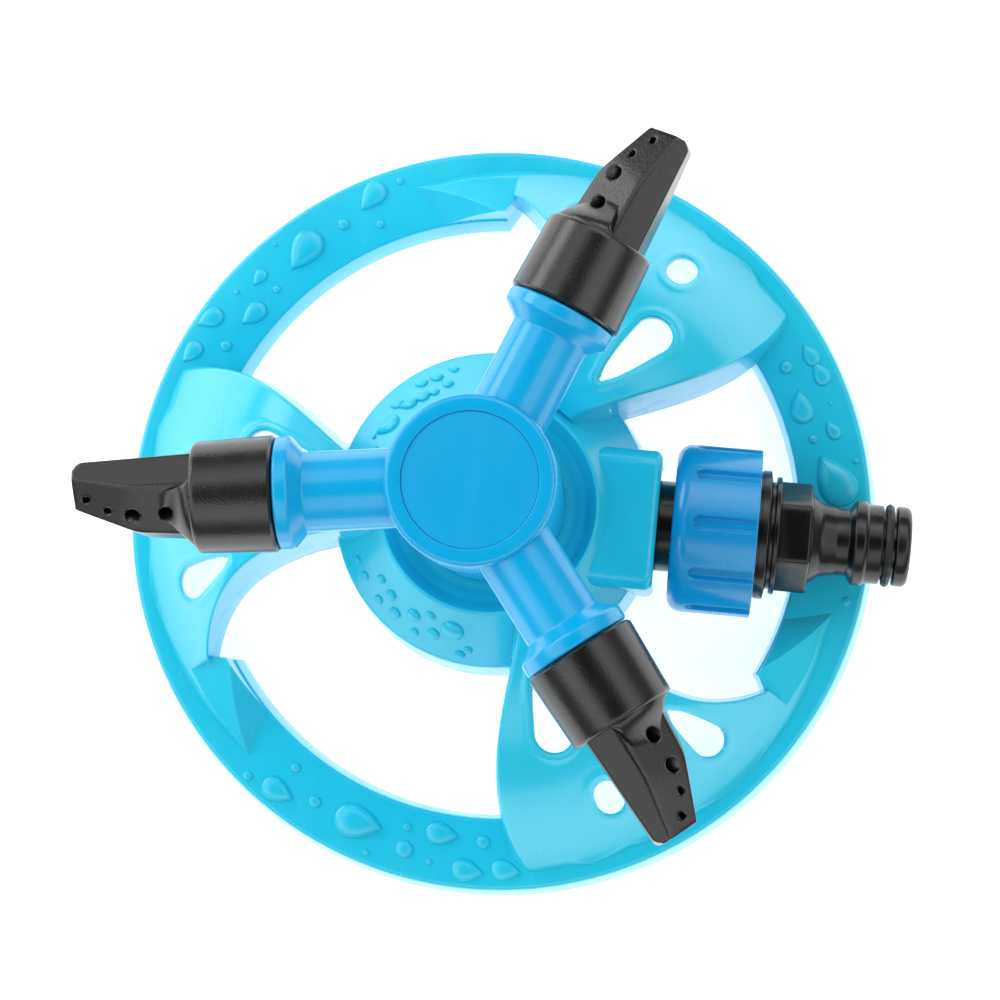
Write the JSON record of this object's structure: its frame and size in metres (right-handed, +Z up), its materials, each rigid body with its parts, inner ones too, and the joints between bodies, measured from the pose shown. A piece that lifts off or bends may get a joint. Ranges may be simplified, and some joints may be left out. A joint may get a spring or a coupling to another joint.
{
  "type": "rotary lawn sprinkler",
  "caption": "Rotary lawn sprinkler with a ring base on arched blades, a spinning hub with tubular arms, twisting nozzle caps and a hose connector.",
  "frame": {"origin": "on the ground, at the middle of the footprint; the rotor's axis stands 2.65 mm behind it along -X", "axes": "+Z up along the rotor's axis, +X along the inlet towards the hose plug"},
  "size_m": [0.1652, 0.16, 0.0926],
  "materials": {
    "base_cyan": "glossy injection-moulded cyan",
    "rotor_blue": "glossy bright blue",
    "nut_blue": "glossy blue",
    "nozzle_black": "fine spark-eroded grain",
    "plug_black": "semi-gloss",
    "duct_black": "satin",
    "rubber": "smooth",
    "acetal": "satin white",
    "brass": "machined",
    "steel": "plain"
  },
  "bodies": {
    "base": {"base": "base_cyan", "water_duct": "duct_black", "duct_screw_1": "steel", "duct_screw_2": "steel", "duct_screw_3": "steel", "inlet_tail": "plug_black", "tail_seal": "rubber", "hose_washer": "rubber", "filter_screen": "steel", "spindle": "acetal", "spindle_seal": "rubber", "lower_thrust_washer": "acetal", "upper_thrust_washer": "acetal", "spindle_locknut": "brass"},
    "rotor": {"rotor_hub": "rotor_blue", "hub_cap": "rotor_blue", "bearing_bush": "brass", "nozzle_seal_1": "rubber", "nozzle_seal_2": "rubber", "nozzle_seal_3": "rubber"},
    "nozzle_1": {"nozzle_1": "nozzle_black"},
    "nozzle_2": {"nozzle_2": "nozzle_black"},
    "nozzle_3": {"nozzle_3": "nozzle_black"},
    "nut": {"swivel_nut": "nut_blue"},
    "plug": {"quick_plug": "plug_black", "plug_ring": "rubber"}
  },
  "joints": [
    {"name": "rotor_spin", "type": "hinge", "parent": "base", "child": "rotor", "pos_m": [-0.00265, 0, 0.06], "axis": [0, 0, 1], "continuous": true},
    {"name": "nozzle_1_twist", "type": "hinge", "parent": "rotor", "child": "nozzle_1", "pos_m": [0.01114, 0.03379, 0.0816], "axis": [0.3778, 0.9259, 0], "continuous": true},
    {"name": "nozzle_2_twist", "type": "hinge", "parent": "rotor", "child": "nozzle_2", "pos_m": [-0.03881, -0.00495, 0.0816], "axis": [-0.9907, -0.1357, 0], "continuous": true},
    {"name": "nozzle_3_twist", "type": "hinge", "parent": "rotor", "child": "nozzle_3", "pos_m": [0.01972, -0.02884, 0.0816], "axis": [0.6129, -0.7902, 0], "continuous": true},
    {"name": "nut_spin", "type": "hinge", "parent": "base", "child": "nut", "pos_m": [0.03425, 0, 0.0235], "axis": [-1, 0, 0], "range_deg": [0, 1080]},
    {"name": "plug_unscrew", "type": "slide", "parent": "base", "child": "plug", "axis": [1, 0, 0], "range_m": [0, 0.0055]}
  ],
  "couplings": [
    {"joint": "plug_unscrew", "follows": "nut_spin", "m_per_rad": 0.00028871}
  ]
}
